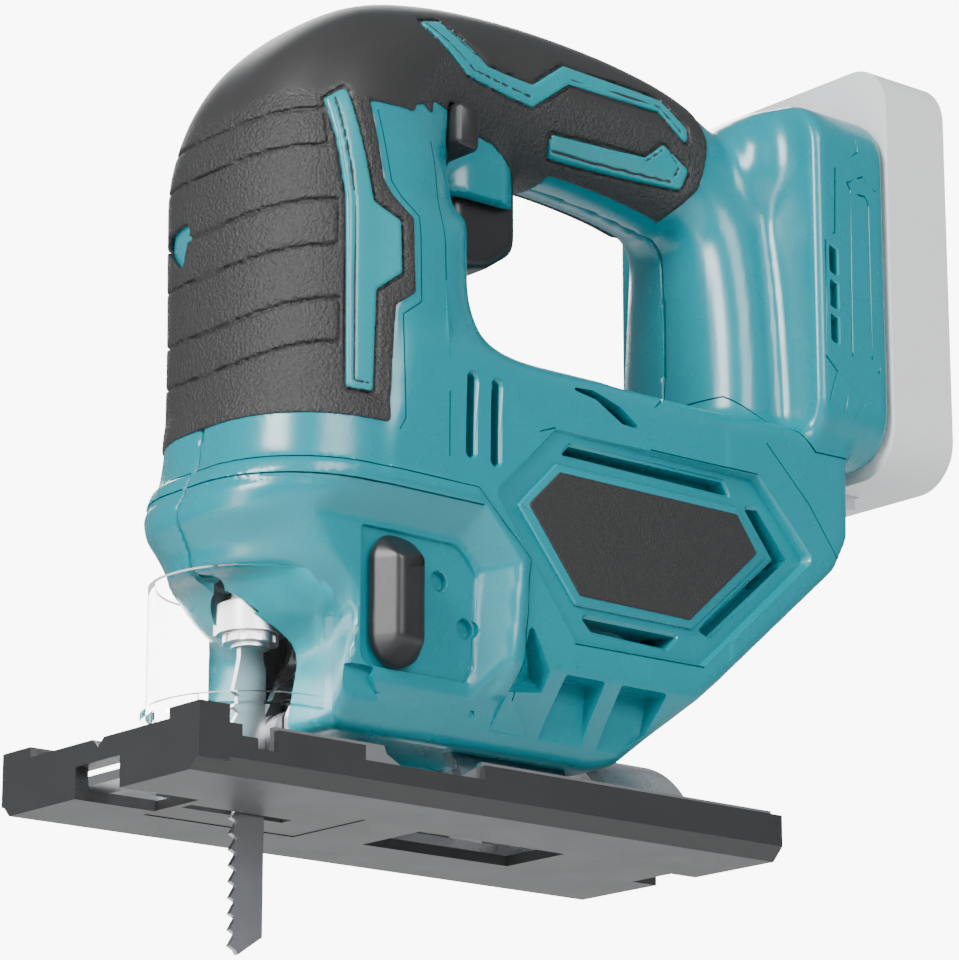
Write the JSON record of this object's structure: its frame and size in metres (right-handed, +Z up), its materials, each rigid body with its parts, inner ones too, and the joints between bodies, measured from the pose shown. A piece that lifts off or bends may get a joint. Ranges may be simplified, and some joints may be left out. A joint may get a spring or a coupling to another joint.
{
  "type": "jigsaw power tool",
  "caption": "Cordless jigsaw with closed handle, slide-on battery, tilting base, clear chip guard and a reciprocating blade behind a roller.",
  "frame": {"origin": "where the blade's line meets the underside of the base, on the tool's middle plane", "axes": "+X back towards the battery, +Y to the right of the tool, +Z up; the blade cuts towards -X and points along -Z"},
  "size_m": [0.237, 0.075, 0.2445],
  "materials": {
    "teal_plastic": "satin moulded plastic, fine grain",
    "black_rubber": "matt grained overmould",
    "black_plastic": "matt moulded plastic",
    "badge_black": "fine pitted black",
    "pale_plastic": "satin pale grey",
    "clear_plastic": "clear polycarbonate",
    "lamp_lens": "clear lens",
    "steel": "machined",
    "dark_steel": "oiled, hardened",
    "zinc_steel": "bright zinc plate",
    "aluminium": "die cast",
    "bronze": "sintered",
    "copper": "machined",
    "magnet": "sintered ferrite",
    "board_green": "lacquered board",
    "cell_wrap": "shrink sleeve"
  },
  "bodies": {
    "housing": {"badge_left": "badge_black", "badge_right": "badge_black", "bracket_pin": "steel", "brush_holder": "black_plastic", "circuit_board": "board_green", "front_bearing": "steel", "gear_axle": "steel", "gearbox_frame": "aluminium", "handle_grip_left": "black_rubber", "handle_grip_right": "black_rubber", "housing_left": "teal_plastic", "housing_right": "teal_plastic", "housing_screws": "dark_steel", "led_lens": "lamp_lens", "lower_bush": "bronze", "motor_can": "dark_steel", "motor_magnets": "magnet", "nose_grip_left": "black_rubber", "nose_grip_right": "black_rubber", "rear_bearing": "steel", "side_trim_left": "teal_plastic", "side_trim_right": "teal_plastic", "switch_body": "black_plastic", "terminal_block": "black_plastic", "terminal_clips": "copper", "tilt_bolt": "dark_steel", "tilt_washer": "steel", "trigger_spring": "steel", "upper_bush": "bronze"},
    "base": {"base_cover": "black_plastic", "base_plate": "zinc_steel", "splinter_insert": "black_plastic", "tilt_bracket": "zinc_steel"},
    "plunger": {"plunger_rod": "steel", "plunger_yoke": "dark_steel", "blade_clamp": "steel", "jigsaw_blade": "steel"},
    "collar": {"clamp_collar": "steel"},
    "roller_arm": {"roller_bracket": "zinc_steel", "roller_pin": "steel"},
    "roller": {"guide_roller": "dark_steel"},
    "crank": {"drive_gear": "dark_steel", "crank_pin": "steel", "counterweight": "dark_steel"},
    "rotor": {"motor_shaft": "steel", "rotor_core": "dark_steel", "commutator": "copper", "cooling_fan": "black_plastic", "pinion": "dark_steel"},
    "selector": {"selector_lever": "black_plastic", "selector_shaft": "steel"},
    "trigger": {"trigger": "black_plastic"},
    "lock": {"lock_button": "black_plastic"},
    "guard": {"chip_guard": "clear_plastic"},
    "battery": {"battery_top": "pale_plastic", "battery_case": "pale_plastic", "battery_cells": "cell_wrap", "battery_terminals": "copper"},
    "latch": {"battery_latch": "pale_plastic"}
  },
  "joints": [
    {"name": "base_tilt", "type": "hinge", "parent": "housing", "child": "base", "pos_m": [0, 0, 0], "axis": [1, 0, 0], "range_deg": [-20, 20]},
    {"name": "plunger_stroke", "type": "slide", "parent": "housing", "child": "plunger", "axis": [0, 0, 1], "range_m": [-0.01, 0.01]},
    {"name": "clamp_turn", "type": "hinge", "parent": "plunger", "child": "collar", "pos_m": [0, 0, 0.045], "axis": [0, 0, 1], "range_deg": [0, 35], "stiffness_Nm_per_rad": 0.05, "springref_deg": -11.46},
    {"name": "roller_swing", "type": "hinge", "parent": "housing", "child": "roller_arm", "pos_m": [0.02, 0, 0.051], "axis": [0, 1, 0], "range_deg": [-4, 0]},
    {"name": "roller_spin", "type": "hinge", "parent": "roller_arm", "child": "roller", "pos_m": [0.0101, 0, 0.019], "axis": [0, 1, 0], "continuous": true},
    {"name": "crank_spin", "type": "hinge", "parent": "housing", "child": "crank", "pos_m": [0.02, 0, 0.1], "axis": [1, 0, 0], "continuous": true},
    {"name": "rotor_spin", "type": "hinge", "parent": "housing", "child": "rotor", "pos_m": [0.06, 0, 0.07], "axis": [1, 0, 0], "continuous": true},
    {"name": "selector_turn", "type": "hinge", "parent": "housing", "child": "selector", "pos_m": [0.02, -0.031, 0.0392], "axis": [0, 1, 0], "range_deg": [0, 70]},
    {"name": "trigger_squeeze", "type": "slide", "parent": "housing", "child": "trigger", "axis": [0, 0, 1], "range_m": [0, 0.005], "stiffness_N_per_m": 1500, "springref_m": -0.002, "deforming": ["trigger_spring"]},
    {"name": "lock_push", "type": "slide", "parent": "housing", "child": "lock", "axis": [0, 1, 0], "range_m": [0, 0.004], "stiffness_N_per_m": 1200, "springref_m": -0.001},
    {"name": "guard_pull", "type": "slide", "parent": "housing", "child": "guard", "axis": [-1, 0, 0], "range_m": [0, 0.008]},
    {"name": "battery_release", "type": "slide", "parent": "housing", "child": "battery", "axis": [0, 0, -1], "range_m": [0, 0.115]},
    {"name": "latch_press", "type": "slide", "parent": "battery", "child": "latch", "axis": [0, 0, 1], "range_m": [0, 0.0016], "stiffness_N_per_m": 1500, "springref_m": -0.001}
  ],
  "couplings": [
    {"joint": "rotor_spin", "follows": "crank_spin", "ratio": -5},
    {"joint": "roller_swing", "follows": "selector_turn", "ratio": -0.057143}
  ]
}
